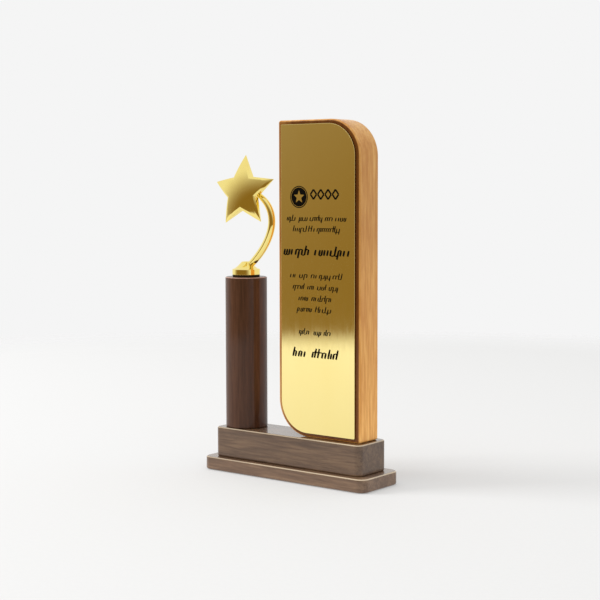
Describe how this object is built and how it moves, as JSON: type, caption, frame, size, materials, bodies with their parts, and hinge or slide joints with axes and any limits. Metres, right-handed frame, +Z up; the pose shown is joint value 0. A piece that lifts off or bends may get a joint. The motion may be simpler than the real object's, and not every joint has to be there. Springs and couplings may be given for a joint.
{
  "type": "star trophy",
  "caption": "Wooden award with a gold star on a curved stem over a turned column, beside an upright leaf-shaped panel with a gold plate, on a stepped base.",
  "frame": {"origin": "middle of the felt underside that the trophy stands on", "axes": "+X to the right along the front, +Y from the front towards the back, +Z up"},
  "size_m": [0.1439, 0.0434, 0.25],
  "materials": {
    "walnut": "satin lacquer",
    "oak": "satin lacquer",
    "gold_plating": "polished gold plating",
    "plate_gold": "polished gold mirror",
    "foam_tape": "matte",
    "gasket_rubber": "matte",
    "felt": "napped",
    "zinc_steel": "zinc plated"
  },
  "bodies": {
    "root": {"base_felt": "felt", "plinth": "walnut", "base_block": "walnut", "plinth_screw_1": "zinc_steel", "plinth_screw_2": "zinc_steel", "plinth_screw_3": "zinc_steel", "plinth_screw_4": "zinc_steel", "column": "walnut", "tie_rod": "zinc_steel", "rod_washer": "zinc_steel", "rod_nut": "zinc_steel", "figure_gasket": "gasket_rubber", "figure_stem": "gold_plating", "star": "gold_plating", "panel": "oak", "panel_screw_1": "zinc_steel", "panel_screw_2": "zinc_steel", "plate_tape": "foam_tape", "gold_plate": "plate_gold"}
  },
  "joints": []
}
